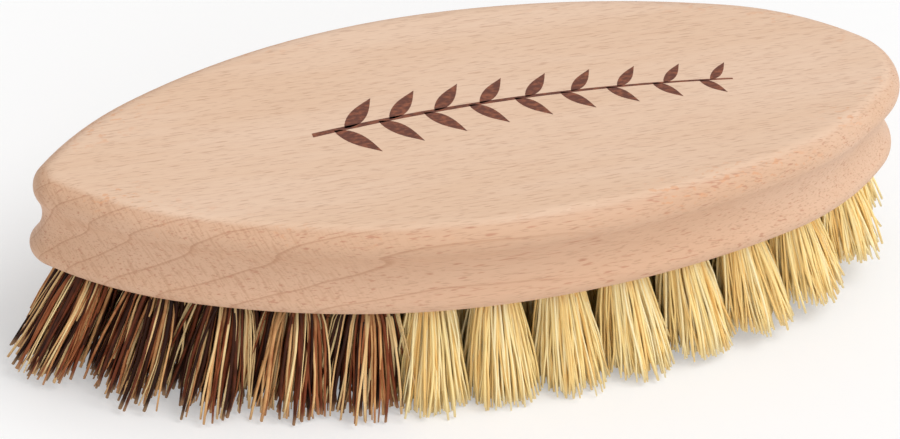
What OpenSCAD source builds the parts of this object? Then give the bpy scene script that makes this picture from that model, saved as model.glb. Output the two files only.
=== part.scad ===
// Oval vegetable brush: a moulded beech block filled with stapled tufts of two plant fibres.
// The brush stands on its tips: z = 0 is the tip plane, x runs along the block, and the
// origin is under the middle of the whole brush, whose tips reach past the block at both
// ends. The round end of the oval points along +x.

/* [Block] */
// Length of the block over its widest moulding
block_length = 135; // [120:1:150]
// Width of the block over its widest moulding
block_width = 52; // [48:1:58]
// Thickness of the block, from the tufted face to the flat top
block_thickness = 16.2; // [15:0.1:19]

/* [Oval outline] */
// Angle from the long axis at which each end arc hands over to its shoulder arc
end_turn = 44; // [38:1:50]
// Radius of the arc at the round end
round_end_radius = 10.8; // [8:0.2:14]
// Radius of the shoulder arcs next to the round end
round_shoulder_radius = 44; // [38:1:50]
// Radius of the arc at the narrow end
narrow_end_radius = 4.8; // [4.2:0.1:6]
// Radius of the shoulder arcs next to the narrow end
narrow_shoulder_radius = 55; // [48:1:62]

/* [Moulded side] */
// Radius of the rolled edge round the flat top
upper_roll_radius = 3.2; // [2.4:0.1:3.8]
// Radius of the smaller rolled edge round the tufted face
lower_roll_radius = 2; // [1.4:0.1:3]
// Depth of the finger groove that runs round the side between the rolled edges
groove_depth = 1.6; // [0.8:0.1:2]

/* [Tuft bores] */
// Diameter of the blind bores that hold the tufts
bore_diameter = 6.2; // [5.5:0.1:6.8]
// Depth of the bores along their own axis
bore_depth = 9; // [8:0.1:9.8]
// Distance from the outline to the outer row of bores
edge_margin = 7; // [6:0.1:8]
// Distance between neighbouring rows of bores
row_spacing = 8.8; // [8.4:0.1:9.6]
// Distance between neighbouring bores in a row
tuft_pitch = 9.9; // [9.6:0.1:11.5]
// Distance along the outer row from the round end to its first bore
row_start = 2.8; // [0:0.2:9]

/* [Fan of the tufts] */
// Height above the tufted face of the point from which all tufts spread
fan_height = 190; // [150:5:320]
// Place of that point along the block, from the middle
fan_centre = -20; // [-30:1:20]

/* [Tufts] */
// Length of fibre that stands out of the block
free_length = 20; // [16:0.5:26]
// Length of the parallel neck of a tuft, below its bore
neck_length = 1.7; // [1.6:0.1:3]
// Width of a tuft at its tips
tip_diameter = 9.6; // [7:0.1:10]
// Least distance between the tips of neighbouring tufts
tip_gap = 0.4; // [0.3:0.1:1]
// Gap between a tuft and the wall and bottom of its bore
tuft_clearance = 0.1; // [0.05:0.05:0.2]
// Place along the block where the brown fibre gives way to the pale one
fibre_change = -14.6; // [-60:0.2:50]

/* [Staples] */
// Diameter of the staple wire
wire_diameter = 0.9; // [0.7:0.1:1.1]
// Distance between the centres of a staple's two legs
staple_width = 4.4; // [4:0.1:4.6]
// Length of a staple from its crown to the ends of its legs
staple_length = 6; // [5:0.1:6.4]
// Radius of the bends between the crown and the legs
bend_radius = 1; // [0.8:0.1:1.2]
// Thickness of the fold of fibre between the crown and the bottom of the bore
fold_thickness = 2; // [1.6:0.1:2.4]
// Radius to which the fold is rounded over
fold_radius = 4; // [3.8:0.1:5]
// Gap round the staple wire
wire_clearance = 0.03; // [0.02:0.01:0.06]
// How far below the crown the tuft narrows to pass between the staple's legs
waist_shoulder = 0.34; // [0.3:0.02:0.5]

/* [Hidden] */
$fn = 72;
// Number of facets round the wide discs that give the block its long side arcs
disc_facets = 240;
// How far the cove cuts into the rolled edges, past just touching them
cove_crossing = 0.02;
// Number of steps in which each outline arc is measured for spacing the bores
arc_steps = 24;
// How far cutting shapes reach past the solid that they cut
overcut = 2;

half_length = block_length / 2;
half_width = block_width / 2;
shank_radius = bore_diameter / 2 - tuft_clearance;
wire_radius = wire_diameter / 2;
wire_hole_radius = wire_radius + wire_clearance;
fold_top = bore_depth - tuft_clearance;
crown_depth = fold_top - fold_thickness - wire_radius;
fan_spread = 1 + free_length / fan_height;

// One end of the oval as its arcs in the quarter where x and y are positive, from the side
// arc to the end arc. Each arc is [centre, radius, from angle, to angle]. The side arc is
// tangent to the widest line and to the shoulder arc, which sets its radius.
function quarter_arcs(end_radius, shoulder_radius) =
  let (
    along = [cos(end_turn), sin(end_turn)],
    end_centre = [half_length - end_radius, 0],
    shoulder_centre = end_centre - (shoulder_radius - end_radius) * along,
    drop = shoulder_centre[1] - half_width,
    side_radius = (shoulder_radius ^ 2 - shoulder_centre[0] ^ 2 - drop ^ 2)
      / (2 * (drop + shoulder_radius)),
    side_centre = [0, half_width - side_radius],
    turn = atan2(shoulder_centre[1] - side_centre[1], shoulder_centre[0])
  ) [
    [side_centre, side_radius, 90, turn],
    [shoulder_centre, shoulder_radius, turn, end_turn],
    [end_centre, end_radius, end_turn, 0]
  ];
round_arcs = quarter_arcs(round_end_radius, round_shoulder_radius);
narrow_arcs = quarter_arcs(narrow_end_radius, narrow_shoulder_radius);

function on_arc(arc, radius, angle) = arc[0] + radius * [cos(angle), sin(angle)];

// Points along one quarter of the outline, a given distance inside it, as far as the curve
// stays above the height lowest.
function inset_quarter(arcs, inset, lowest) = [
  for (arc = arcs, step = [0 : arc_steps])
    let (p = on_arc(arc, arc[1] - inset, arc[2] + (arc[3] - arc[2]) * step / arc_steps))
      if (arc[1] > inset && p[1] >= lowest) p
];

function reversed(points) = [for (i = [len(points) - 1 : -1 : 0]) points[i]];
function flipped_x(points) = [for (p = points) [-p[0], p[1]]];
function flipped_y(points) = [for (p = points) [p[0], -p[1]]];

// The inset curve on the positive y side, from the round end to the narrow end.
function inset_half(inset, lowest = 0) = concat(
  reversed(inset_quarter(round_arcs, inset, lowest)),
  flipped_x(inset_quarter(narrow_arcs, inset, lowest))
);

// Distance from a curve's first point to each of its points, paired with one coordinate.
function measured(curve, axis) = [
  for (i = 0, s = 0; i < len(curve);
    s = s + (i + 1 < len(curve) ? norm(curve[i + 1] - curve[i]) : 0), i = i + 1)
    [s + i * 1e-7, curve[i][axis]]
];
function last(list) = list[len(list) - 1];
function curve_length(curve) = len(curve) < 2 ? 0 : last(measured(curve, 0))[0];
function points_at(curve, distances) =
  let (xs = measured(curve, 0), ys = measured(curve, 1))
    [for (s = distances) [lookup(s, xs), lookup(s, ys)]];

// The outer row runs right round, a margin inside the outline.
outer_half = inset_half(edge_margin);
outer_curve = concat(outer_half, reversed(flipped_y(outer_half)));
outer_length = curve_length(outer_curve);
outer_count = round(outer_length / tuft_pitch);
outer_row = points_at(
  outer_curve,
  [for (i = [0 : outer_count - 1]) (row_start + i * outer_length / outer_count) % outer_length]
);

// The second row follows it inside, where its two sides are far enough apart.
second_curve = inset_half(edge_margin + row_spacing, row_spacing / 2);
second_steps = max(1, round(curve_length(second_curve) / tuft_pitch));
second_side = points_at(
  second_curve,
  [for (i = [0 : second_steps]) i * curve_length(second_curve) / second_steps]
);

// A short row fills the centre line between them, and single tufts lead on to the ends.
function along_centre(from, to, first, left_out) =
  let (steps = max(1, floor(abs(to - from) / tuft_pitch)))
    [for (i = [0 : steps]) if (i >= first && i <= steps - left_out) [from + (to - from) * i / steps, 0]];
centre_curve = inset_half(edge_margin + 2 * row_spacing);
centre_row = len(centre_curve) < 2 ? [] :
  along_centre(centre_curve[0][0], last(centre_curve)[0], 0, 0);
round_lead = along_centre(second_curve[0][0], outer_half[0][0], 1, 1);
narrow_lead = along_centre(last(second_curve)[0], last(outer_half)[0], 1, 1);

sites = concat(
  outer_row, second_side, flipped_y(second_side), centre_row, round_lead, narrow_lead
);
brown_sites = [for (s = sites) if (s[0] < fibre_change) s];
pale_sites = [for (s = sites) if (s[0] >= fibre_change) s];

// A tuft flares to its full width, or less where its nearest neighbour is close.
function nearest(site) = min([for (s = sites) if (norm(s - site) > 0.01) norm(s - site)]);
function lean(site) = atan(norm([site[0] - fan_centre, site[1]]) / fan_height);
function lean_direction(site) = atan2(-site[1], fan_centre - site[0]);
function tip_radius(site) =
  min(tip_diameter, (nearest(site) * fan_spread - tip_gap) * cos(lean(site))) / 2;

// Furthest that a tuft's tips reach along x on one side, -1 or 1, from the block's middle.
function tip_reach(site, side) =
  fan_centre + (site[0] - fan_centre) * fan_spread + side * tip_radius(site) / cos(lean(site));
brush_end = max(half_length, max([for (s = sites) tip_reach(s, 1)]));
brush_start = min(-half_length, min([for (s = sites) tip_reach(s, -1)]));
brush_middle = (brush_start + brush_end) / 2;

function numbered(name, i) = str(name, i < 9 ? "_0" : "_", i + 1);

// Moves what is drawn in the middle of the block's tufted face to its place in the brush.
module in_brush() translate([-brush_middle, 0, free_length]) children();

// Moves a shape drawn on a bore's own axis to its site on the tufted face, and turns its
// z axis up along the bore, towards the point from which the tufts spread.
module at_site(site) {
  translate(site)
    rotate([0, 0, lean_direction(site)])
      rotate([0, lean(site), 0])
        rotate([0, 0, -lean_direction(site)])
          children();
}

// Moves a shape in three steps of falling size: whole millimetres, thousandths and the rest.
// Neighbouring arcs of the block then meet exactly, however many digits their centres have.
module shifted(by) {
  whole = [for (v = by) floor(v)];
  fine = [for (v = by - whole) floor(v * 1000) / 1000];
  translate(whole) translate(fine) translate(by - whole - fine) children();
}

// The outer half of one rolled edge.
module rolled_edge(centre, radius) {
  intersection() {
    translate(centre) circle(radius);
    translate([centre[0], centre[1] - radius]) square([radius, 2 * radius]);
  }
}

// Half of the block's cross-section, from the rim at x = 0 in to a given depth, with z from
// the tufted face: two rolled edges and a cove that runs into both.
module side_section(depth) {
  upper = [-upper_roll_radius, block_thickness - upper_roll_radius];
  lower = [-lower_roll_radius, lower_roll_radius];
  groove_height = (upper[1] + lower[1]) / 2
    - groove_depth * (upper_roll_radius - lower_roll_radius) / (upper[1] - lower[1]);
  rise = groove_height - lower[1];
  cove_radius = (groove_depth ^ 2 + rise ^ 2) / (2 * groove_depth) - lower_roll_radius;
  cove = [cove_radius - groove_depth - cove_crossing, groove_height];
  difference() {
    union() {
      polygon([
        [-depth, 0], [lower[0], 0], lower, cove, upper, [upper[0], block_thickness],
        [-depth, block_thickness]
      ]);
      rolled_edge(upper, upper_roll_radius);
      rolled_edge(lower, lower_roll_radius);
    }
    shifted(cove) circle(cove_radius);
  }
}

// The wedge of a moulded disc that one outline arc bounds. The wedges of neighbouring arcs
// share a face, on the line through the centres of both arcs, and reach in to y = 0.
module arc_wedge(arc, plan) {
  intersection() {
    shifted(arc[0]) rotate_extrude($fn = disc_facets)
      shifted([arc[1], 0]) side_section(min(arc[1], half_width + overcut));
    translate([0, 0, -overcut]) linear_extrude(block_thickness + 2 * overcut) polygon(plan);
  }
}

// One quarter of the block: the wedges under its side, shoulder and end arcs.
module block_quarter(arcs) {
  side = arcs[0];
  shoulder = arcs[1];
  end = arcs[2];
  beyond_side = on_arc(side, side[1] + overcut, side[3]);
  beyond_end = on_arc(end, end[1] + overcut, end[2]);
  side_foot = [-side[0][1] / tan(side[3]), 0];
  arc_wedge(side, [
    [0, 0], side_foot, beyond_side, [beyond_side[0], half_width + overcut],
    [0, half_width + overcut]
  ]);
  arc_wedge(shoulder, [
    side_foot, end[0], beyond_end, [beyond_end[0], beyond_side[1]], beyond_side
  ]);
  arc_wedge(end, [
    end[0], [half_length + overcut, 0], [half_length + overcut, beyond_end[1]], beyond_end
  ]);
}

module moulded_blank() {
  for (y_side = [0, 1]) mirror([0, y_side, 0]) {
    block_quarter(round_arcs);
    mirror([1, 0, 0]) block_quarter(narrow_arcs);
  }
}

// The two legs of a staple, or the holes that they make, up the bore's own axis.
module legs(radius, from, to) {
  for (x = [-1, 1] * staple_width / 2)
    translate([x, 0, from]) cylinder(r = radius, h = to - from);
}

// What is cut from the block at one site: the bore and two leg holes in its bottom.
module bore_cut() {
  translate([0, 0, -overcut]) cylinder(d = bore_diameter, h = bore_depth + overcut);
  legs(wire_hole_radius, bore_depth - overcut, crown_depth + staple_length + wire_clearance);
}

module brush_block() {
  color("burlywood") in_brush() difference() {
    moulded_blank();
    for (site = sites) at_site(site) bore_cut();
  }
}

// One staple on its bore's axis: a crown across the tuft and two legs up into the wood.
module staple() {
  straight = staple_width / 2 - bend_radius;
  rotate([0, 90, 0]) translate([-crown_depth, 0, -straight])
    cylinder(r = wire_radius, h = 2 * straight);
  for (turned = [0, 180]) rotate([0, 0, turned])
    translate([straight, 0, crown_depth + bend_radius]) rotate([90, 0, 0])
      rotate_extrude(angle = 90, start = 270) translate([bend_radius, 0]) circle(wire_radius);
  legs(wire_radius, crown_depth + bend_radius, crown_depth + staple_length);
}

module anchor_staples() {
  color("silver") in_brush() for (site = sites) at_site(site) staple();
}

// The part of a tuft that sits in its bore: the fibres run up to a fold, which is squeezed
// between the legs of the staple, with the crown of the staple through it.
module folded_shank() {
  shank_length = neck_length + fold_top;
  waist_start = crown_depth - wire_hole_radius - waist_shoulder;
  waist_width = staple_width - 2 * wire_hole_radius;
  difference() {
    intersection() {
      translate([0, 0, -neck_length]) cylinder(r = shank_radius, h = shank_length);
      union() {
        translate([0, 0, fold_top - fold_radius]) rotate([0, 90, 0])
          cylinder(r = fold_radius, h = bore_diameter, center = true);
        translate([-bore_diameter / 2, -fold_radius, -neck_length])
          cube([bore_diameter, 2 * fold_radius, shank_length - fold_radius]);
      }
    }
    for (turned = [0, 180]) rotate([0, 0, turned])
      translate([waist_width / 2, -bore_diameter, waist_start])
        cube([bore_diameter, 2 * bore_diameter, bore_depth]);
    translate([0, 0, crown_depth]) rotate([0, 90, 0])
      cylinder(r = wire_hole_radius, h = 2 * bore_diameter, center = true);
  }
}

// The free fibres, flaring from the neck to well past the tip plane.
module flared_brush(site) {
  reach = free_length / cos(lean(site));
  flare = (tip_radius(site) - shank_radius) / (reach - neck_length);
  past = reach + tip_diameter / 2;
  end_radius = shank_radius + flare * (past - neck_length);
  translate([0, 0, -past]) cylinder(r1 = end_radius, r2 = shank_radius, h = past - neck_length);
}

// One tuft in its bore, cut off level at the tip plane.
module tuft(site) {
  in_brush() intersection() {
    at_site(site) {
      folded_shank();
      flared_brush(site);
    }
    translate([-block_length, -block_length, -free_length])
      cube([2 * block_length, 2 * block_length, free_length + block_thickness]);
  }
}

module union_tuft(site) color("saddlebrown") tuft(site);
module tampico_tuft(site) color("khaki") tuft(site);

brush_block();
anchor_staples();
for (i = [0 : len(brown_sites) - 1])
  union_tuft(brown_sites[i]);
for (i = [0 : len(pale_sites) - 1])
  tampico_tuft(pale_sites[i]);
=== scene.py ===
"""Dresses an oval vegetable brush: oiled beech block, burned sprig and two kinds of stiff fibre.

The block and the staples keep their solids and get a finish. Each tuft's solid is replaced by
a tuft of separate fibres, which stands on the same bore. It leans as the bore does, but further
at the brown end and less at the pale end. All lengths are in metres.
"""

import logging
import math
from dataclasses import dataclass, field
from enum import Enum, IntEnum

import bpy
from mathutils import Matrix, Vector


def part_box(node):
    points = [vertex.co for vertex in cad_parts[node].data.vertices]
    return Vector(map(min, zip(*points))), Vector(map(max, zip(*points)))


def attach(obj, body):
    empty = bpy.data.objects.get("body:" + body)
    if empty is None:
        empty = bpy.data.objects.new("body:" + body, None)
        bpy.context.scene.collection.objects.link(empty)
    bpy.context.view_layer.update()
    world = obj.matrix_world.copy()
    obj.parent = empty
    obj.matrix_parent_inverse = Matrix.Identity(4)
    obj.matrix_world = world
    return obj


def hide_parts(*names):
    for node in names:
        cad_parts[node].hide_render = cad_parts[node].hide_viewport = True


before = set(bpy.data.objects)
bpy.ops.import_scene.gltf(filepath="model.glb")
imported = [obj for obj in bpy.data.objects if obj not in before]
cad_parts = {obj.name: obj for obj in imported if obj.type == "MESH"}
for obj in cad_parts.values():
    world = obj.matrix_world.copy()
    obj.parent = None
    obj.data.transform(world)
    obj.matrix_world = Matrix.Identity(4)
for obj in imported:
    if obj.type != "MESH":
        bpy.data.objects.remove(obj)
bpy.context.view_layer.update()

LOG = logging.getLogger("vegetable_brush")
BODY = "root"
BLOCK_NODE = "brush_block"
STAPLES_NODE = "anchor_staples"
PHOTO_WIDTH = 900
SENSOR_WIDTH = 36.0
HALF_TURN = math.pi
FULL_TURN = 2 * math.pi
UP = Vector((0, 0, 1))

Range = tuple[float, float]
Triple = tuple[float, float, float]
Colour = tuple[float, float, float, float]
Socket = bpy.types.NodeSocket
Material = bpy.types.Material

WHITE: Colour = (1.0, 1.0, 1.0, 1.0)


class FibreKind(Enum):
    """The two kinds of tuft, each named as its solids are."""

    UNION = "union"
    TAMPICO = "tampico"


class Draw(IntEnum):
    """The random draws, one for each thing that differs from fibre to fibre."""

    RING = 1
    ANGLE = 2
    STRAY = 3
    SCATTER_OUT = 4
    SCATTER_ACROSS = 5
    BOW_OUT = 6
    BOW_ACROSS = 7
    SHORT = 8
    THICKNESS = 9
    TONE = 11
    WAVE_OUT = 12
    WAVE_ACROSS = 13


@dataclass(frozen=True)
class BlockSize:
    """The size of the block and where it lies along and above the floor."""

    middle: float
    half_length: float
    half_width: float
    underside: float
    top: float

    @classmethod
    def of_solid(cls) -> "BlockSize":
        """Reads the size from the box of the block's solid.

        Returns:
            The size.
        """
        low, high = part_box(BLOCK_NODE)
        return cls(
            middle=(low[0] + high[0]) / 2,
            half_length=(high[0] - low[0]) / 2,
            half_width=(high[1] - low[1]) / 2,
            underside=low[2],
            top=high[2],
        )


BLOCK = BlockSize.of_solid()


def linear(value: int) -> float:
    """Turns one channel of a screen colour into its linear value.

    Args:
        value: The channel, from 0 to 255.

    Returns:
        The linear value, from 0 to 1.
    """
    full, straight_end, straight_slope, offset, power = 255, 0.04045, 12.92, 0.055, 2.4
    share = value / full
    if share <= straight_end:
        return share / straight_slope
    return ((share + offset) / (1 + offset)) ** power


def srgb(red: int, green: int, blue: int) -> Colour:
    """Turns a colour as seen on screen into the linear colour that shaders take."""
    return linear(red), linear(green), linear(blue), 1.0


def direction(azimuth: float, elevation: float) -> Vector:
    """Gives the way to an azimuth, from the front to the right, and an elevation, in degrees."""
    around, up = math.radians(azimuth), math.radians(elevation)
    return Vector((math.sin(around) * math.cos(up), -math.cos(around) * math.cos(up), math.sin(up)))


class Field:
    """A value inside a node tree, which sums and products turn into further nodes."""

    def __init__(self, maker: "TreeMaker", socket: Socket) -> None:
        """Keeps the tree's maker and the output socket that carries the value."""
        self.maker = maker
        self.socket = socket

    def math(self, operation: str, *others: "Field | float") -> "Field":
        """Applies a math operation to this value and any further ones."""
        return self.maker.math(operation, self, *others)

    def __add__(self, other: "Field | float") -> "Field":
        """Adds."""
        return self.math("ADD", other)

    def __sub__(self, other: "Field | float") -> "Field":
        """Subtracts."""
        return self.math("SUBTRACT", other)

    def __rsub__(self, other: float) -> "Field":
        """Subtracts from a number."""
        return self.maker.math("SUBTRACT", other, self)

    def __mul__(self, other: "Field | float") -> "Field":
        """Multiplies."""
        return self.math("MULTIPLY", other)

    def __truediv__(self, other: "Field | float") -> "Field":
        """Divides."""
        return self.math("DIVIDE", other)


Amount = Field | float


class TreeMaker:
    """Adds nodes to one tree, whether it makes a shape, a finish or a background."""

    def __init__(self, tree: bpy.types.NodeTree) -> None:
        """Keeps the tree."""
        self.tree = tree

    def plug(self, target: Socket, value: object) -> None:
        """Sets an input socket or links it.

        Args:
            target: The input socket.
            value: A plain value to set, or a field or an output socket to link.
        """
        if isinstance(value, Field):
            value = value.socket
        if isinstance(value, Socket):
            self.tree.links.new(value, target)
        else:
            target.default_value = value

    def node(self, kind: str, inputs: dict | None = None, **settings: object) -> bpy.types.Node:
        """Adds a node.

        Args:
            kind: The node's type name.
            inputs: What each input gets, by the input's name or number.
            settings: The node's own settings.

        Returns:
            The node.
        """
        node = self.tree.nodes.new(kind)
        for name, value in settings.items():
            setattr(node, name, value)
        for key, value in (inputs or {}).items():
            self.plug(node.inputs[key], value)
        return node

    def value(self, socket: Socket) -> Field:
        """Gives the value that an output socket carries."""
        return Field(self, socket)

    def math(self, operation: str, *operands: Amount) -> Field:
        """Adds a math node and gives its result."""
        node = self.node("ShaderNodeMath", dict(enumerate(operands)), operation=operation)
        return self.value(node.outputs[0])

    def split(self, vector: Socket) -> tuple[Field, Field, Field]:
        """Gives the x, y and z parts of a vector."""
        node = self.node("ShaderNodeSeparateXYZ", {0: vector})
        return tuple(self.value(part) for part in node.outputs)

    def joined(self, x: Amount, y: Amount, z: Amount) -> Socket:
        """Joins three values into a vector."""
        return self.node("ShaderNodeCombineXYZ", {0: x, 1: y, 2: z}).outputs[0]


class ShapeTree(TreeMaker):
    """A Geometry Nodes tree with named inputs that makes one mesh."""

    SOCKETS = {float: "NodeSocketFloat", int: "NodeSocketInt", Material: "NodeSocketMaterial"}
    SEED_STEP = 31.0

    def __init__(self, name: str, sizes: dict[str, type]) -> None:
        """Makes the tree with its group input and output.

        Args:
            name: The tree's name.
            sizes: The kind of each named input.
        """
        super().__init__(bpy.data.node_groups.new(name, "GeometryNodeTree"))
        face = self.tree.interface
        face.new_socket("Geometry", in_out="OUTPUT", socket_type="NodeSocketGeometry")
        self.identifiers = {}
        for size, kind in sizes.items():
            socket = face.new_socket(size, in_out="INPUT", socket_type=self.SOCKETS[kind])
            self.identifiers[size] = socket.identifier
        self.source = self.node("NodeGroupInput")
        self.result = self.node("NodeGroupOutput")

    def size(self, name: str) -> Field:
        """Gives one named input as a field."""
        return self.value(self.source.outputs[name])

    def moved(self, geometry: Socket, place: Socket) -> Socket:
        """Moves the points of a geometry and gives the socket that carries the result."""
        return self.node("GeometryNodeSetPosition", {0: geometry, "Position": place}).outputs[0]

    def point(self) -> tuple[Field, Field, Field]:
        """Gives the x, y and z of the point that a field is asked for."""
        return self.split(self.node("GeometryNodeInputPosition").outputs[0])

    def random(self, low: Amount, high: Amount, fibre: Socket, draw: Draw) -> Field:
        """Gives a random number for each fibre.

        Args:
            low: The least value.
            high: The greatest value.
            fibre: The field that tells one fibre from another.
            draw: The draw, which sets this number apart from the fibre's others.

        Returns:
            The random number.
        """
        low_input, high_input, identity_input, seed_input = 2, 3, 7, 8
        node = self.node(
            "FunctionNodeRandomValue",
            {
                low_input: low,
                high_input: high,
                identity_input: fibre,
                seed_input: self.size("Seed") * self.SEED_STEP + float(draw),
            },
            data_type="FLOAT",
        )
        return self.value(node.outputs[1])

    def finish(self, geometry: Socket) -> None:
        """Ends the tree in Realize Instances and Set Material.

        Args:
            geometry: The finished geometry.
        """
        realized = self.node("GeometryNodeRealizeInstances", {0: geometry})
        coated = self.node(
            "GeometryNodeSetMaterial",
            {"Geometry": realized.outputs[0], "Material": self.source.outputs["Material"]},
        )
        self.plug(self.result.inputs[0], coated.outputs[0])

    def mesh(self, name: str, sizes: dict[str, object]) -> bpy.types.Mesh:
        """Runs the tree and keeps its result as a plain mesh.

        Args:
            name: The mesh's name.
            sizes: A value for each named input.

        Returns:
            The mesh.
        """
        holder = bpy.data.objects.new(name, bpy.data.meshes.new(name))
        modifier = holder.modifiers.new("shape", "NODES")
        modifier.node_group = self.tree
        for size, value in sizes.items():
            modifier[self.identifiers[size]] = value
        bpy.context.scene.collection.objects.link(holder)
        graph = bpy.context.evaluated_depsgraph_get()
        mesh = bpy.data.meshes.new_from_object(
            holder.evaluated_get(graph), preserve_all_data_layers=True, depsgraph=graph
        )
        empty = holder.data
        bpy.data.objects.remove(holder)
        bpy.data.meshes.remove(empty)
        mesh.name = name
        return mesh


class FinishTree(TreeMaker):
    """A material's node tree with the helpers that the finishes share."""

    NOISE_ROUGHNESS = 0.55
    NOISE_MIDDLE = 0.5

    def __init__(self, name: str) -> None:
        """Makes the material with its principled shader.

        Args:
            name: The material's name.
        """
        self.material = bpy.data.materials.new(name)
        self.material.use_nodes = True
        super().__init__(self.material.node_tree)
        self.shader = self.tree.nodes["Principled BSDF"]

    def place(self) -> Socket:
        """Gives the place on the object, in metres."""
        return self.node("ShaderNodeTexCoord").outputs["Object"]

    def attribute(self, name: str) -> Field:
        """Gives one of the mesh's own attributes as a number."""
        return self.value(self.node("ShaderNodeAttribute", attribute_name=name).outputs["Fac"])

    def noise(self, place: Socket, scale: Triple, detail: float, shift: float = 0.0) -> Field:
        """Gives noise that is stretched along the axes.

        Args:
            place: The socket that carries the place.
            scale: How many features fit a metre along each axis.
            detail: How many finer layers it has.
            shift: Moves the pattern, so that two layers differ.

        Returns:
            The noise, from 0 to 1.
        """
        spread = self.node(
            "ShaderNodeMapping", {"Vector": place, "Location": (shift,) * 3, "Scale": scale}
        )
        noise = self.node(
            "ShaderNodeTexNoise",
            {
                "Vector": spread.outputs[0],
                "Scale": 1.0,
                "Detail": detail,
                "Roughness": self.NOISE_ROUGHNESS,
            },
        )
        return self.value(noise.outputs[0])

    def ramp(self, amount: Field, stops: tuple[tuple[float, Colour], ...]) -> Socket:
        """Turns a number into a colour.

        Args:
            amount: The number, from 0 to 1.
            stops: Pairs of a place on the ramp and its colour.

        Returns:
            The socket that carries the colour.
        """
        node = self.node("ShaderNodeValToRGB", {0: amount})
        elements = node.color_ramp.elements
        while len(elements) < len(stops):
            elements.new(1.0)
        for element, (position, colour) in zip(elements, stops):
            element.position = position
            element.color = colour
        return node.outputs[0]

    def step(self, amount: Field, start: float, end: float) -> Field:
        """Rises smoothly from 0 to 1.

        Args:
            amount: The amount that the result follows.
            start: The amount at which it is 0.
            end: The amount at which it is 1, which may be the smaller one.

        Returns:
            The result.
        """
        node = self.node(
            "ShaderNodeMapRange",
            {"Value": amount, "From Min": start, "From Max": end},
            interpolation_type="SMOOTHSTEP",
        )
        return self.value(node.outputs[0])

    def tint(self, share: Field, base: Socket | Colour, colour: Colour) -> Socket:
        """Blends a colour over another one.

        Args:
            share: How much of the new colour shows, from 0 to 1.
            base: The colour below it.
            colour: The new colour.

        Returns:
            The socket that carries the blend.
        """
        share_input, base_input, colour_input, blend_output = 0, 6, 7, 2
        node = self.node(
            "ShaderNodeMix",
            {share_input: share, base_input: base, colour_input: colour},
            data_type="RGBA",
        )
        return node.outputs[blend_output]

    def relief(self, height: Field, depth: float) -> None:
        """Gives the surface a fine relief, from a height of 0 to 1 and a depth in metres."""
        node = self.node("ShaderNodeBump", {"Strength": 1.0, "Distance": depth, "Height": height})
        self.plug(self.shader.inputs["Normal"], node.outputs[0])

    def coat(self, colour: Socket | Colour, roughness: float, metallic: float = 0.0) -> Material:
        """Gives the shader its colour and its roughness.

        Args:
            colour: The colour, plain or as a socket.
            roughness: The roughness, from 0 to 1.
            metallic: 1 for a metal and 0 for anything else.

        Returns:
            The finished material.
        """
        self.plug(self.shader.inputs["Base Color"], colour)
        self.plug(self.shader.inputs["Roughness"], roughness)
        self.plug(self.shader.inputs["Metallic"], metallic)
        return self.material


@dataclass(frozen=True)
class Pattern:
    """Noise that is stretched along the axes and cut softly, so that spots or streaks are left."""

    scale: Triple
    cut: Range
    detail: float = 1.0
    shift: float = 0.0

    def drawn(self, made: FinishTree, place: Socket) -> Field:
        """Gives the pattern on a finish, from 0 to 1."""
        return made.step(made.noise(place, self.scale, self.detail, self.shift), *self.cut)


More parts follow.
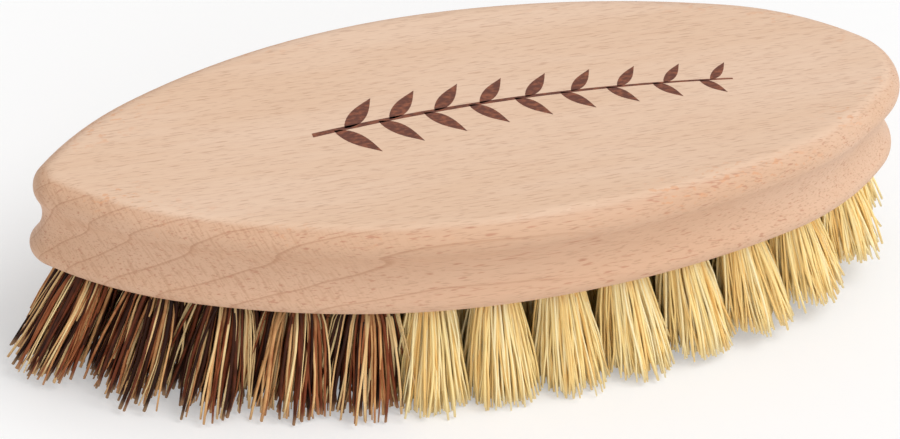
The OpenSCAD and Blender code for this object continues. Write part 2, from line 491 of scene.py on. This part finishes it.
@dataclass(frozen=True)
class OiledBeech:
    """Pale beech: growth rings that cut the moulded side aslant, fine dashes and orange flecks."""

    pale: Colour = srgb(229, 197, 171)
    warm: Colour = srgb(224, 189, 160)
    # The side colour is painted shade: the moulded side is shown darker than the top.
    side: Colour = srgb(202, 155, 120)
    hair: Colour = srgb(206, 160, 130)
    ring: Colour = srgb(168, 112, 76)
    fleck: Colour = srgb(218, 146, 96)
    dash: Colour = srgb(160, 108, 78)
    streak: Colour = srgb(178, 112, 82)
    broad: Pattern = Pattern((16, 120, 120), (0.3, 0.7), detail=3)
    hairs: Pattern = Pattern((120, 3400, 3400), (0.42, 0.72), detail=2, shift=3.1)
    dashes: Pattern = Pattern((380, 4600, 4600), (0.56, 0.70), shift=1.3)
    streaks: Pattern = Pattern((300, 2700, 2700), (0.60, 0.74), shift=4.9)
    rays: Pattern = Pattern((2500, 440, 440), (0.47, 0.68), detail=2, shift=8.3)
    spots: Pattern = Pattern((700, 1300, 1300), (0.54, 0.68), detail=2, shift=5.2)
    patches: Pattern = Pattern((55, 120, 120), (0.46, 0.62), detail=2, shift=9.4)
    side_below_top: Range = (0.00005, 0.0006)
    # How much painted shade the side gets, and how it fades towards the right end.
    side_shade_share: float = 0.60
    side_shade_fades: Range = (0.020, 0.060)
    side_shade_lost: float = 0.28
    hair_share: float = 0.22
    ring_slope: Triple = (0.03, 0.90, 0.43)
    ring_spacing: float = 0.0033
    rings_below: float = 50.0
    ring_wander: float = 0.0036
    wander_scale: Triple = (20, 44, 44)
    wander_detail: float = 3
    wander_shift: float = 7.7
    line_starts: Range = (0.91, 0.975)
    line_ends: Range = (1.0, 0.985)
    line_share: float = 0.72
    band_reach: Range = (0.2, 0.95)
    band_share: float = 0.14
    ring_end: float = 0.022
    ring_share_past_end: float = 0.2
    ring_share_side: float = 0.45
    ring_share_top: float = 0.03
    ray_slant: float = 0.6
    rays_reach: Range = (-0.008, -0.044)
    ray_share: float = 0.27
    rim_reach: Range = (0.60, 0.84)
    fleck_below_top: Range = (0.005, 0.001)
    fleck_share: float = 0.45
    dash_share: float = 0.30
    streak_share_side: float = 0.50
    streak_share_top: float = 0.03
    dash_lowered: float = 0.5
    relief_depth: float = 0.00004
    roughness: float = 0.55

    def growth_rings(self, made: FinishTree, place: Socket) -> Field:
        """Gives thin dark lines where growth rings meet the surface, mostly at the narrow end.

        Args:
            made: The material's tree.
            place: The socket that carries the place.

        Returns:
            The darkness of the ring lines, from 0 to 1.
        """
        x, y, z = made.split(place)
        along, across, up = self.ring_slope
        noise = made.noise(place, self.wander_scale, self.wander_detail, self.wander_shift)
        depth = y * across + z * up + noise * self.ring_wander + x * along
        phase = (depth / self.ring_spacing + self.rings_below).math("FRACT")
        line = made.step(phase, *self.line_starts) * made.step(phase, *self.line_ends)
        band = made.step(phase, *self.band_reach)
        left = self.ring_share_past_end
        fade = made.step(x, self.ring_end, -self.ring_end) * (1.0 - left) + left
        return (line * self.line_share + band * self.band_share) * fade

    def rim_flecks(self, made: FinishTree, place: Socket) -> Field:
        """Gives the small orange flecks in patches near the rim of the top.

        Args:
            made: The material's tree.
            place: The socket that carries the place.

        Returns:
            The strength of the flecks, from 0 to 1.
        """
        x, y, z = made.split(place)
        along, across = x / BLOCK.half_length, y / BLOCK.half_width
        near_rim = made.step(along * along + across * across, *self.rim_reach)
        near_top = made.step(z, *(BLOCK.top - below for below in self.fleck_below_top))
        return self.spots.drawn(made, place) * self.patches.drawn(made, place) * near_rim * near_top

    def end_rays(self, made: FinishTree, place: Socket) -> Field:
        """Gives the fine slanting lines of the narrow end.

        Args:
            made: The material's tree.
            place: The socket that carries the place.

        Returns:
            The strength of the lines, from 0 to 1.
        """
        x, y, z = made.split(place)
        aslant = made.joined(x + z * self.ray_slant, y, z)
        return self.rays.drawn(made, aslant) * made.step(x, *self.rays_reach)

    def material(self) -> Material:
        """Builds the material from thin layers of colour.

        Returns:
            The material.
        """
        made = FinishTree("oiled_beech")
        place = made.place()
        x, _, z = made.split(place)
        on_side = made.step(z, *(BLOCK.top - below for below in self.side_below_top))
        # Painted shade: the moulded side is darker than the top, most towards the left end.
        side_shade = self.side_shade_share - made.step(x, *self.side_shade_fades) * self.side_shade_lost
        on_rings = on_side * self.ring_share_side + self.ring_share_top
        on_streaks = on_side * self.streak_share_side + self.streak_share_top
        dashes = self.dashes.drawn(made, place)
        layers = (
            (self.broad.drawn(made, place), self.warm),
            (on_side * side_shade, self.side),
            (self.hairs.drawn(made, place) * self.hair_share, self.hair),
            (self.growth_rings(made, place) * on_rings, self.ring),
            (self.end_rays(made, place) * on_side * self.ray_share, self.ring),
            (self.rim_flecks(made, place) * self.fleck_share, self.fleck),
            (dashes * self.dash_share, self.dash),
            (self.streaks.drawn(made, place) * on_streaks, self.streak),
        )
        colour = self.pale
        for share, layer in layers:
            colour = made.tint(share, colour, layer)
        made.relief(1.0 - dashes * self.dash_lowered, self.relief_depth)
        return made.coat(colour, self.roughness)


@dataclass(frozen=True)
class BurnedWood:
    """Wood browned by a hot stamp, with a mottled face."""

    dark: Colour = srgb(92, 46, 30)
    light: Colour = srgb(138, 78, 52)
    mottle: Pattern = Pattern((900, 1800, 1800), (0.4, 0.7), detail=3)
    roughness: float = 0.7

    def material(self) -> Material:
        """Builds the material.

        Returns:
            The material.
        """
        made = FinishTree("burned_wood")
        mottle = self.mottle.drawn(made, made.place())
        return made.coat(made.tint(mottle, self.dark, self.light), self.roughness)


@dataclass(frozen=True)
class FibreFinish:
    """Plant fibre whose colour goes from fibre to fibre and along each one, with painted shade near
    the block.
    """

    name: str
    tones: tuple[tuple[float, Colour], ...]
    # The root colour is painted shade, which the fibres darken to near the block.
    root: Colour
    root_shade_reach: float
    tip: Colour
    frayed: float
    patchy: float
    gloss: float
    roughness: float = 0.5
    root_shade_share: float = 0.6
    tip_start: float = 0.90
    patch_scale: Triple = (700, 700, 240)
    patch_detail: float = 3

    def material(self) -> Material:
        """Builds the material.

        Returns:
            The material.
        """
        made = FinishTree(self.name)
        tone, along = made.attribute("tone"), made.attribute("along")
        noise = made.noise(made.place(), self.patch_scale, self.patch_detail)
        colour = made.ramp(tone + (noise - made.NOISE_MIDDLE) * self.patchy, self.tones)
        # Painted shade: the fibres darken towards the block, where shade falls between the tufts.
        root_shade = made.step(along, self.root_shade_reach, 0.0) * self.root_shade_share
        near_tip = made.step(along, self.tip_start, 1.0) * self.frayed
        colour = made.tint(root_shade, colour, self.root)
        colour = made.tint(near_tip, colour, self.tip)
        made.plug(made.shader.inputs["Specular IOR Level"], self.gloss)
        return made.coat(colour, self.roughness)


@dataclass(frozen=True)
class DrawnSteel:
    """Bright drawn steel wire."""

    colour: Colour = srgb(196, 198, 200)
    roughness: float = 0.32

    def material(self) -> Material:
        """Builds the material."""
        return FinishTree("drawn_steel").coat(self.colour, self.roughness, metallic=1.0)


UNION_FINISH = FibreFinish(
    name="union_fibre_mix",
    tones=(
        (0.00, srgb(42, 20, 12)),
        (0.24, srgb(66, 33, 20)),
        (0.40, srgb(126, 62, 36)),
        (0.56, srgb(170, 104, 64)),
        (0.68, srgb(226, 174, 116)),
        (1.00, srgb(254, 226, 168)),
    ),
    # Painted shade near the block: the union fibres go nearly black there.
    root=srgb(12, 6, 3),
    root_shade_reach=0.30,
    tip=srgb(210, 168, 126),
    frayed=0.55,
    patchy=0.34,
    gloss=0.12,
)
TAMPICO_FINISH = FibreFinish(
    name="tampico_fibre",
    tones=(
        (0.00, srgb(248, 205, 126)),
        (0.20, srgb(254, 219, 146)),
        (0.60, srgb(255, 229, 160)),
        (1.00, srgb(255, 239, 190)),
    ),
    # Painted shade near the block: the tampico fibres go amber there.
    root=srgb(176, 106, 32),
    root_shade_reach=0.25,
    tip=srgb(246, 226, 180),
    frayed=0.4,
    patchy=0.2,
    gloss=0.35,
)


def add_piece(name: str, mesh: bpy.types.Mesh, slot: str) -> bpy.types.Object:
    """Adds a finished mesh to the scene as a piece of the brush.

    Args:
        name: The piece's name.
        mesh: Its mesh, already in place.
        slot: Not used.

    Returns:
        The piece.
    """
    piece = bpy.data.objects.new(name, mesh)
    bpy.context.scene.collection.objects.link(piece)
    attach(piece, BODY)
    LOG.info("made %s with %d faces", name, len(mesh.polygons))
    return piece


def dressed(node: str, material: Material) -> bpy.types.Object:
    """Gives a solid that stays in the scene its finish.

    Args:
        node: The solid's node.
        material: The finish.

    Returns:
        The solid.
    """
    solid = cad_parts[node]
    solid.data.materials.clear()
    solid.data.materials.append(material)
    LOG.info("dressed %s", node)
    return solid


@dataclass
class BeechBlock:
    """The moulded block, which keeps its solid and is dressed in beech."""

    finish: OiledBeech = field(default_factory=OiledBeech)

    def dress(self) -> None:
        """Gives the block's solid its finish."""
        block = dressed(BLOCK_NODE, self.finish.material())


@dataclass
class Staples:
    """The wire staples in the bores."""

    finish: DrawnSteel = field(default_factory=DrawnSteel)

    def dress(self) -> None:
        """Gives the staples' solids their finish."""
        staples = dressed(STAPLES_NODE, self.finish.material())


@dataclass
class BurnedSprig:
    """A leafy sprig burned into the top of the block, in two mirrored rows of leaves."""

    centre: tuple[float, float] = (0.008, 0.000)
    length: float = 0.066
    stem_width: float = 0.0007
    stem_root: float = 1.25
    stem_taper: float = 0.8
    stem_steps: tuple[int, int] = (61, 2)
    rise: float = 0.0022
    pairs: int = 9
    first_pair: float = 0.6
    stagger: float = 0.12
    bare_tip: float = 0.2
    leaf_length: float = 0.0078
    leaf_width: float = 0.0024
    leaf_angle: float = math.radians(38)
    leaf_fullness: float = 0.8
    leaf_point: float = 0.02
    leaf_curl: float = 0.14
    leaf_steps: tuple[int, int] = (13, 3)
    lowest_leaf: float = 1.08
    leaf_shrink: float = 0.5
    thickness: float = 0.00008
    proud: float = 0.00002
    finish: BurnedWood = field(default_factory=BurnedWood)

    def tree(self) -> ShapeTree:
        """Builds the tree that lays leaves along a bowed stem.

        Returns:
            The tree.
        """
        shape = ShapeTree(
            "burned_sprig",
            {
                "Length": float, "Stem Width": float, "Rise": float, "Leaves": int,
                "Leaf Length": float, "Leaf Width": float, "Leaf Angle": float,
                "Thickness": float, "Material": Material,
            },
        )
        join = shape.node("GeometryNodeJoinGeometry")
        for part in (self.stem(shape), self.leaves(shape)):
            shape.plug(join.inputs[0], part)
        shape.finish(join.outputs[0])
        return shape

    @staticmethod
    def bow(shape: ShapeTree, share: Field) -> Field:
        """Gives the height of the bowed stem at a share of its length, the most at mid length."""
        product_at_middle = 0.25
        return share * (1.0 - share) / product_at_middle * shape.size("Rise")

    @staticmethod
    def slab(shape: ShapeTree, steps: tuple[int, int]) -> Socket:
        """Adds a unit box, cut into steps along x and y, that becomes a stem or a leaf."""
        counts = {"Vertices X": steps[0], "Vertices Y": steps[1], "Vertices Z": 2}
        return shape.node("GeometryNodeMeshCube", {"Size": (1, 1, 1), **counts}).outputs[0]

    def stem(self, shape: ShapeTree) -> Socket:
        """Adds the stem, a thin strip that narrows towards its tip.

        Args:
            shape: The sprig's tree.

        Returns:
            The socket that carries the stem.
        """
        x, y, z = shape.point()
        share = x + 0.5
        width = shape.size("Stem Width") * (self.stem_root - share * self.stem_taper)
        place = shape.joined(
            x * shape.size("Length"),
            y * width + self.bow(shape, share),
            z * shape.size("Thickness"),
        )
        return shape.moved(self.slab(shape, self.stem_steps), place)

    def leaf(self, shape: ShapeTree) -> Socket:
        """Adds one leaf, which swells, ends in a point and curls a little.

        Args:
            shape: The sprig's tree.

        Returns:
            The socket that carries the leaf.
        """
        x, y, z = shape.point()
        share = x + 0.5
        swell = (share.math("POWER", self.leaf_fullness) * HALF_TURN).math("SINE")
        width = swell.math("MAXIMUM", self.leaf_point) * shape.size("Leaf Width")
        curl = share * share * shape.size("Leaf Length") * self.leaf_curl
        place = shape.joined(
            share * shape.size("Leaf Length"), y * width + curl, z * shape.size("Thickness")
        )
        return shape.moved(self.slab(shape, self.leaf_steps), place)

    def leaves(self, shape: ShapeTree) -> Socket:
        """Adds the leaves, in pairs, smaller towards the tip of the stem.

        Args:
            shape: The sprig's tree.

        Returns:
            The socket that carries the leaves.
        """
        per_pair = 2.0
        index = shape.value(shape.node("GeometryNodeInputIndex").outputs[0])
        pair = (index / per_pair).math("FLOOR")
        # The first leaf of a pair is on side -1 and the second on side 1.
        side = (index - pair * per_pair) * 2.0 - 1.0
        reach = shape.size("Leaves") / per_pair + self.bare_tip
        along = (pair + self.first_pair + side * self.stagger) / reach
        foot = shape.joined((along - 0.5) * shape.size("Length"), self.bow(shape, along), 0.0)
        points = shape.node("GeometryNodePoints", {"Count": shape.size("Leaves")})
        grown = self.lowest_leaf - along * self.leaf_shrink
        # A half turn about its own length mirrors a leaf of side -1.
        turned_over = (1.0 - side) * (HALF_TURN / 2)
        instances = shape.node(
            "GeometryNodeInstanceOnPoints",
            {
                "Points": shape.moved(points.outputs[0], foot),
                "Instance": self.leaf(shape),
                "Rotation": shape.joined(turned_over, 0.0, side * shape.size("Leaf Angle")),
                "Scale": shape.joined(grown, grown, 1.0),
            },
        )
        return instances.outputs[0]

    def build(self) -> bpy.types.Object:
        """Makes the sprig and lays it on the block's flat top.

        Returns:
            The sprig.
        """
        sizes = {
            "Length": self.length, "Stem Width": self.stem_width, "Rise": self.rise,
            "Leaves": 2 * self.pairs, "Leaf Length": self.leaf_length,
            "Leaf Width": self.leaf_width, "Leaf Angle": self.leaf_angle,
            "Thickness": self.thickness, "Material": self.finish.material(),
        }
        mesh = self.tree().mesh("burned_sprig", sizes)
        x, y = self.centre
        height = BLOCK.top + self.proud - self.thickness / 2
        mesh.transform(Matrix.Translation((BLOCK.middle + x, y, height)))
        return add_piece("burned_sprig", mesh, "beech")


@dataclass
class TuftPlan:
    """Where one tuft stands and how it leans, read from its solid."""

    site: Vector
    outward: Vector
    lean: float
    tip_radius: float

    @classmethod
    def of_node(cls, node: str, fan: Vector) -> "TuftPlan":
        """Reads a tuft's place from the ring of its solid on the tip plane.

        Args:
            node: The name of the tuft's solid.
            fan: The point from which all tufts spread.

        Returns:
            The tuft's plan.
        """
        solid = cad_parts[node]
        tolerance = 1e-5
        ring = [solid.matrix_world @ v.co for v in solid.data.vertices]
        ring = [p for p in ring if p.z < tolerance]
        low = Vector([min(p[i] for p in ring) for i in range(3)])
        high = Vector([max(p[i] for p in ring) for i in range(3)])
        tip = (low + high) / 2
        tip.z = 0
        site = tip.lerp(fan, BLOCK.underside / fan.z)
        away = Vector((site.x - fan.x, site.y - fan.y, 0))
        outward = away.normalized() if away.length > tolerance else Vector((1, 0, 0))
        lean = math.atan2(away.length, fan.z - BLOCK.underside)
        return cls(site, outward, lean, min(high.x - low.x, high.y - low.y) / 2)

    def placement(self) -> Matrix:
        """Gives the matrix that lays a tuft's own axes on its bore, z down to the tips.

        Returns:
            The matrix.
        """
        down = self.outward * math.sin(self.lean) - UP * math.cos(self.lean)
        out = self.outward * math.cos(self.lean) + UP * math.sin(self.lean)
        turn = Matrix((out, down.cross(out), down)).transposed().to_4x4()
        return Matrix.Translation(self.site) @ turn


@dataclass
class FibrePoint:
    """What the tree knows of each point of a fibre.

    The fibre's number tells it from the others, and its tone goes from 0, dark, to 1, pale.
    The place along it goes from 0 at the block to 1 at the tip, and the place in the bore from
    -1 at its end to 0 at the block. x and y are the place on the fibre's round section.
    """

    fibre: Socket
    tone: Field
    along: Field
    in_bore: Field
    x: Field
    y: Field


@dataclass
class Tufts:
    """All tufts of one kind of fibre."""

    kind: FibreKind
    slot: str
    finish: FibreFinish
    fibres: int
    thin: float
    thick: float
    tone_power: float
    ragged: float
    scatter: float
    bow: float
    stray_share: float
    neck_radius: float
    spread: float
    opening: float
    end: float
    end_power: float
    shorter_at_end: float
    lean_at_end: float
    widening: float = 1.0
    pale_thinner: float = 0.0
    bore_hold: float = 0.006
    fan_height: float = 0.190
    fan_centre: float = -0.020
    sides: int = 5
    segments: int = 6
    stray_reach: float = 1.6
    wave_share: float = 0.35
    short_power: float = 1.6
    tip_taper: float = 0.2

    def tree(self) -> ShapeTree:
        """Builds the tree that makes one tuft on its own axes, z from the block to the tips.

        Returns:
            The tree.
        """
        shape = ShapeTree(
            f"{self.kind.value}_fibre_tuft",
            {
                "Fibres": int, "Neck Radius": float, "Tip Radius": float, "Free Length": float,
                "Lean": float, "Bore Hold": float, "Thin": float, "Thick": float,
                "Ragged": float, "Scatter": float, "Bow": float, "Stray Share": float,
                "Opening": float, "Widening": float, "Tone Power": float, "Pale Thinner": float,
                "Seed": int, "Material": Material,
            },
        )
        rods = self.rods(shape)
        x, y, z = shape.point()
        fibre = shape.node(
            "GeometryNodeInputNamedAttribute", {"Name": "fibre"}, data_type="INT"
        ).outputs[0]
        steps = (z + 0.5) * float(self.segments) - 1.0
        point = FibrePoint(
            fibre=fibre,
            tone=shape.random(0.0, 1.0, fibre, Draw.TONE).math("POWER", shape.size("Tone Power")),
            along=steps.math("MAXIMUM", 0.0) / float(self.segments - 1),
            in_bore=steps.math("MINIMUM", 0.0),
            x=x,
            y=y,
        )
        for name, value in (("tone", point.tone), ("along", point.along)):
            rods = self.marked(shape, rods, name, value, "FLOAT")
        moved = shape.moved(rods, self.fibre_place(shape, point))
        smooth = shape.node("GeometryNodeSetShadeSmooth", {0: moved})
        shape.finish(smooth.outputs[0])
        return shape

    @staticmethod
    def marked(
        shape: ShapeTree, geometry: Socket, name: str, value: Field | Socket, kind: str
    ) -> Socket:
        """Stores a value on the points of a geometry.

        Args:
            shape: The tree.
            geometry: The geometry.
            name: The attribute's name.
            value: The value.
            kind: The attribute's data type.

        Returns:
            The socket that carries the marked geometry.
        """
        node = shape.node(
            "GeometryNodeStoreNamedAttribute",
            {"Geometry": geometry, "Name": name, "Value": value},
            data_type=kind,
            domain="POINT",
        )
        return node.outputs[0]

    def rods(self, shape: ShapeTree) -> Socket:
        """Adds one unit rod for each fibre, with the fibre's number stored on it.

        Args:
            shape: The tree.

        Returns:
            The socket that carries the rods.
        """
        rod = shape.node(
            "GeometryNodeMeshCylinder",
            {"Vertices": self.sides, "Side Segments": self.segments, "Radius": 1.0, "Depth": 1.0},
            fill_type="NGON",
        )
        points = shape.node("GeometryNodePoints", {"Count": shape.size("Fibres")})
        index = shape.node("GeometryNodeInputIndex").outputs[0]
        instances = shape.node(
            "GeometryNodeInstanceOnPoints",
            {
                "Points": self.marked(shape, points.outputs[0], "fibre", index, "INT"),
                "Instance": rod.outputs[0],
            },
        )
        return shape.node("GeometryNodeRealizeInstances", {0: instances.outputs[0]}).outputs[0]

    def fibre_place(self, shape: ShapeTree, point: FibrePoint) -> Socket:
        """Places the points of every fibre.

        Args:
            shape: The tree.
            point: What the tree knows of each point.

        Returns:
            The socket that carries the point's place.
        """
        fibre, along = point.fibre, point.along
        ring = shape.random(0.0, 1.0, fibre, Draw.RING).math("SQRT")
        angle = shape.random(0.0, FULL_TURN, fibre, Draw.ANGLE)
        stray = shape.random(0.0, 1.0, fibre, Draw.STRAY)
        stray = stray.math("LESS_THAN", shape.size("Stray Share"))
        reach = shape.size("Scatter") * (stray * self.stray_reach + 1.0)
        opened = along.math("POWER", shape.size("Opening"))
        wide = shape.size("Widening")
        offsets = []
        for turn, widening, scatter_draw, bow_draw, wave_draw in (
            ("COSINE", 1.0, Draw.SCATTER_OUT, Draw.BOW_OUT, Draw.WAVE_OUT),
            ("SINE", wide, Draw.SCATTER_ACROSS, Draw.BOW_ACROSS, Draw.WAVE_ACROSS),
        ):
            part = ring * angle.math(turn)
            neck = part * shape.size("Neck Radius")
            scatter = shape.random(-1.0, 1.0, fibre, scatter_draw) * reach
            tip = part * shape.size("Tip Radius") * widening + scatter
            bow = shape.random(-1.0, 1.0, fibre, bow_draw) * shape.size("Bow")
            wave = shape.random(-1.0, 1.0, fibre, wave_draw) * shape.size("Bow") * self.wave_share
            bowed = (along * HALF_TURN).math("SINE") * bow
            waved = (along * FULL_TURN).math("SINE") * wave
            offsets.append((neck + (tip - neck) * opened + bowed + waved, tip))
        (out, tip_out), (across, _) = offsets
        lean = shape.size("Lean")
        level = (shape.size("Free Length") + tip_out * lean.math("SINE")) / lean.math("COSINE")
        short = shape.random(0.0, 1.0, fibre, Draw.SHORT).math("POWER", self.short_power)
        free = level - short * shape.size("Ragged")
        down = free * along + point.in_bore * shape.size("Bore Hold")
        radius = shape.random(shape.size("Thin"), shape.size("Thick"), fibre, Draw.THICKNESS) / 2.0
        radius = radius * (1.0 - along * self.tip_taper)
        radius = radius * (1.0 - shape.size("Pale Thinner") * point.tone)
        return shape.joined(out + point.x * radius, across + point.y * radius, down)

    def shared_sizes(self) -> dict[str, float]:
        """Gives the sizes that all tufts of this kind share, by the tree's names for them.

        Returns:
            The sizes.
        """
        return {
            "Fibres": self.fibres, "Neck Radius": self.neck_radius, "Bore Hold": self.bore_hold,
            "Thin": self.thin, "Thick": self.thick, "Ragged": self.ragged,
            "Scatter": self.scatter, "Bow": self.bow, "Stray Share": self.stray_share,
            "Opening": self.opening, "Widening": self.widening, "Tone Power": self.tone_power,
            "Pale Thinner": self.pale_thinner,
        }

    def build(self) -> list[bpy.types.Object]:
        """Makes one piece for each tuft of this kind and puts it in place of its solid.

        Returns:
            The pieces.
        """
        fan = Vector((BLOCK.middle + self.fan_centre, 0, BLOCK.underside + self.fan_height))
        shape, material, shared = self.tree(), self.finish.material(), self.shared_sizes()
        nodes = sorted(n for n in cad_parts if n.startswith(f"{self.kind.value}_tuft_"))
        pieces = []
        for number, node in enumerate(nodes, 1):
            plan = TuftPlan.of_node(node, fan)
            place = self.end * (plan.site.x - BLOCK.middle) / BLOCK.half_length
            toward_end = max(0.0, place) ** self.end_power
            plan.lean *= 1 + self.lean_at_end * toward_end
            own = {
                "Tip Radius": plan.tip_radius * self.spread,
                "Free Length": BLOCK.underside - self.shorter_at_end * toward_end,
                "Lean": plan.lean,
                "Seed": number,
                "Material": material,
            }
            mesh = shape.mesh(f"{self.kind.value}_fibres_{number:02d}", shared | own)
            mesh.transform(plan.placement())
            piece = add_piece(mesh.name, mesh, self.slot)
            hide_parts(node)
            pieces.append(piece)
        return pieces


UNION_TUFTS = Tufts(
    kind=FibreKind.UNION,
    slot="union_fibre",
    finish=UNION_FINISH,
    fibres=230,
    thin=0.00034,
    thick=0.00086,
    tone_power=0.95,
    ragged=0.0016,
    scatter=0.0013,
    bow=0.0007,
    stray_share=0.06,
    neck_radius=0.0035,
    spread=1.27,
    opening=0.62,
    end=-1.0,
    end_power=3.0,
    shorter_at_end=0.0022,
    lean_at_end=1.5,
    widening=1.25,
    pale_thinner=0.35,
)
TAMPICO_TUFTS = Tufts(
    kind=FibreKind.TAMPICO,
    slot="tampico_fibre",
    finish=TAMPICO_FINISH,
    fibres=400,
    thin=0.00028,
    thick=0.00053,
    tone_power=0.9,
    ragged=0.0014,
    scatter=0.0009,
    bow=0.0006,
    stray_share=0.04,
    neck_radius=0.0028,
    spread=1.21,
    opening=0.95,
    end=1.0,
    end_power=2.2,
    shorter_at_end=0.0068,
    lean_at_end=-0.50,
)


@dataclass(frozen=True)
class Lamp:
    """A soft distant lamp."""

    name: str
    azimuth: float
    elevation: float
    strength: float
    softness: float

    def add(self) -> None:
        """Adds the lamp to the scene."""
        light = bpy.data.lights.new(self.name, "SUN")
        light.energy = self.strength
        light.angle = math.radians(self.softness)
        lamp = bpy.data.objects.new(self.name, light)
        lamp.rotation_mode = "QUATERNION"
        toward = direction(self.azimuth, self.elevation)
        lamp.rotation_quaternion = toward.to_track_quat("Z", "Y")
        bpy.context.scene.collection.objects.link(lamp)


@dataclass
class Studio:
    """The pale floor, the soft lamps and the camera at the photograph's angle."""

    lamps: tuple[Lamp, ...] = (
        Lamp("key_lamp", azimuth=62, elevation=58, strength=1.55, softness=40),
        Lamp("fill_lamp", azimuth=-4, elevation=12, strength=0.70, softness=60),
    )
    sky: float = 0.55
    floor_reach: float = 6.0
    floor_drop: float = 0.0002
    floor_white: float = 0.96
    floor_roughness: float = 0.9
    floor_glow: float = 0.35
    azimuth: float = -20.878
    elevation: float = 40.655
    roll: float = 5.987
    distance: float = 1.0
    focal_pixels: float = 7658.5
    target: Triple = (-0.046085, -0.109236, 0.116058)
    clip: Range = (0.01, 20.0)

    def add_world(self) -> None:
        """Lights the scene evenly and shows white behind it."""
        world = bpy.data.worlds.new("studio")
        world.use_nodes = True
        bpy.context.scene.world = world
        made = TreeMaker(world.node_tree)
        background = made.tree.nodes["Background"]
        made.plug(background.inputs["Color"], WHITE)
        made.plug(background.inputs["Strength"], self.seen(made) * (1.0 - self.sky) + self.sky)

    @staticmethod
    def seen(made: TreeMaker) -> Field:
        """Tells the rays that show the background from those that light the brush.

        Args:
            made: The tree of the background or of the floor's material.

        Returns:
            1 for rays that are seen straight, in a gloss or through glass, and 0 for others.
        """
        path = made.node("ShaderNodeLightPath")
        rays = ("Is Camera Ray", "Is Glossy Ray", "Is Transmission Ray")
        first, second, third = (made.value(path.outputs[name]) for name in rays)
        return first.math("MAXIMUM", second).math("MAXIMUM", third)

    def floor_finish(self) -> Material:
        """Builds a floor that looks white and still takes the brush's shadow.

        Returns:
            The floor's material.
        """
        made = FinishTree("studio_floor")
        made.coat((self.floor_white,) * 3 + (1.0,), self.floor_roughness)
        glow = made.node("ShaderNodeEmission", {"Color": WHITE, "Strength": 1.0})
        share = self.seen(made) * self.floor_glow
        mix = made.node(
            "ShaderNodeMixShader", {0: share, 1: made.shader.outputs[0], 2: glow.outputs[0]}
        )
        made.plug(made.tree.nodes["Material Output"].inputs["Surface"], mix.outputs[0])
        return made.material

    def add_floor(self) -> None:
        """Adds the floor just under the tips."""
        reach, level = self.floor_reach, -self.floor_drop
        corners = [(-reach, -reach), (reach, -reach), (reach, reach), (-reach, reach)]
        mesh = bpy.data.meshes.new("studio_floor")
        mesh.from_pydata([(x, y, level) for x, y in corners], [], [(0, 1, 2, 3)])
        mesh.materials.append(self.floor_finish())
        floor = bpy.data.objects.new("studio_floor", mesh)
        bpy.context.scene.collection.objects.link(floor)

    def add_camera(self) -> None:
        """Adds the camera, with the photograph's angle, roll and field of view."""
        back = direction(self.azimuth, self.elevation)
        right = (-back).cross(UP).normalized()
        above = right.cross(-back)
        turn = math.radians(self.roll)
        side = right * math.cos(turn) + above * math.sin(turn)
        above = above * math.cos(turn) - right * math.sin(turn)
        data = bpy.data.cameras.new("photo_camera")
        data.sensor_fit = "HORIZONTAL"
        data.sensor_width = SENSOR_WIDTH
        data.lens = self.focal_pixels * SENSOR_WIDTH / PHOTO_WIDTH
        data.clip_start, data.clip_end = self.clip
        camera = bpy.data.objects.new("photo_camera", data)
        pose = Matrix((side, above, back)).transposed().to_4x4()
        pose.translation = Vector(self.target) + back * self.distance
        camera.matrix_world = pose
        bpy.context.scene.collection.objects.link(camera)
        bpy.context.scene.camera = camera

    def build(self) -> None:
        """Sets up the floor, the light and the camera."""
        self.add_camera()
        self.add_world()
        self.add_floor()
        for lamp in self.lamps:
            lamp.add()
        bpy.context.scene.view_settings.view_transform = "Standard"


def main() -> None:
    """Builds and dresses the brush, piece by piece."""
    logging.basicConfig(level=logging.INFO, format="%(name)s: %(message)s")
    Studio().build()
    BeechBlock().dress()
    Staples().dress()
    BurnedSprig().build()
    for tufts in (UNION_TUFTS, TAMPICO_TUFTS):
        LOG.info("placed %d %s tufts", len(tufts.build()), tufts.kind.value)


if __name__ == "__main__":
    main()
